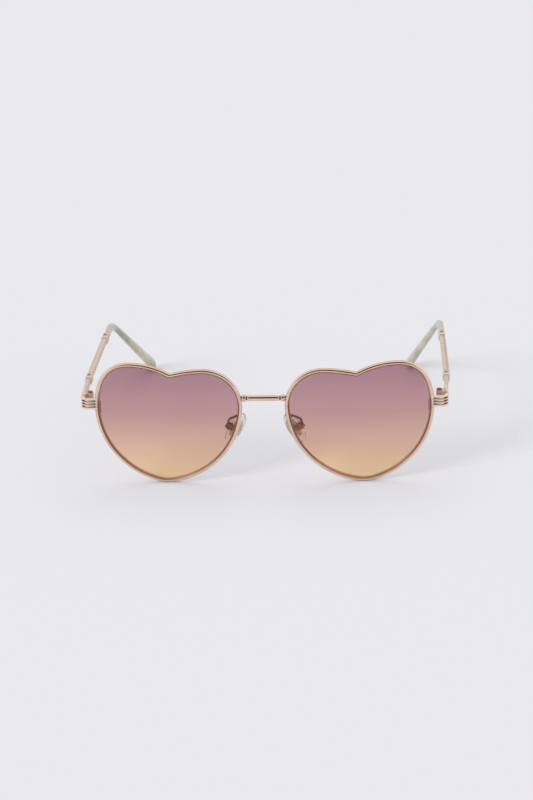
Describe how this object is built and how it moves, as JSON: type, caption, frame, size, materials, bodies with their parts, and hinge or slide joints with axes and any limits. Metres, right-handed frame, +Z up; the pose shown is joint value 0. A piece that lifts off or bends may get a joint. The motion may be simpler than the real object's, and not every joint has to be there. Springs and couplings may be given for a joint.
{
  "type": "heart shaped sunglasses",
  "caption": "Sunglasses with thin metal heart-shaped rims, gradient lenses, a turned bridge bar, rocking nose pads and folding beaded temples with plastic ear tips.",
  "frame": {"origin": "on the table under the middle of the open sunglasses", "axes": "+X to the wearer's left, which is the viewer's right from the front, +Y back along the temples, +Z up"},
  "size_m": [0.1472, 0.1478, 0.0511],
  "materials": {
    "rose_gold": "polished rose gold plating",
    "tinted_lens": "clear polished tint, purple at the top to peach at the bottom",
    "clear_pad": "clear soft plastic",
    "pearl_tip": "pearly grey-green marbled, polished",
    "screw_metal": "polished"
  },
  "bodies": {
    "front": {"bridge": "rose_gold", "rim_left": "rose_gold", "rim_right": "rose_gold", "lens_left": "tinted_lens", "lens_right": "tinted_lens", "closing_block_left": "rose_gold", "closing_block_right": "rose_gold", "rim_screw_left": "screw_metal", "rim_screw_right": "screw_metal", "endpiece_left": "rose_gold", "endpiece_right": "rose_gold", "front_hinge_left": "rose_gold", "front_hinge_right": "rose_gold", "hinge_screw_left": "screw_metal", "hinge_screw_right": "screw_metal", "pad_arm_left": "rose_gold", "pad_arm_right": "rose_gold", "pad_box_left": "rose_gold", "pad_box_right": "rose_gold", "pad_screw_left": "screw_metal", "pad_screw_right": "screw_metal"},
    "temple_left": {"temple_hinge_left": "rose_gold", "temple_shaft_left": "rose_gold", "front_collar_left": "rose_gold", "rear_collar_left": "rose_gold", "collar_pins_left": "screw_metal", "temple_tip_left": "pearl_tip"},
    "temple_right": {"temple_hinge_right": "rose_gold", "temple_shaft_right": "rose_gold", "front_collar_right": "rose_gold", "rear_collar_right": "rose_gold", "collar_pins_right": "screw_metal", "temple_tip_right": "pearl_tip"},
    "pad_left": {"pad_core_left": "screw_metal", "nose_pad_left": "clear_pad"},
    "pad_right": {"pad_core_right": "screw_metal", "nose_pad_right": "clear_pad"}
  },
  "joints": [
    {"name": "temple_left_fold", "type": "hinge", "parent": "front", "child": "temple_left", "pos_m": [-0.06906, -0.06433, 0.03138], "axis": [0, 0, -1], "range_deg": [-1.2, 85]},
    {"name": "temple_right_fold", "type": "hinge", "parent": "front", "child": "temple_right", "pos_m": [0.06906, -0.06433, 0.03138], "axis": [0, 0, 1], "range_deg": [-1.2, 75]},
    {"name": "pad_left_rock", "type": "hinge", "parent": "front", "child": "pad_left", "pos_m": [-0.01367, -0.0647, 0.0223], "axis": [-0.4494, 0.848, 0.2808], "range_deg": [-10, 10]},
    {"name": "pad_right_rock", "type": "hinge", "parent": "front", "child": "pad_right", "pos_m": [0.01367, -0.0647, 0.0223], "axis": [0.4494, 0.848, 0.2808], "range_deg": [-10, 10]}
  ]
}
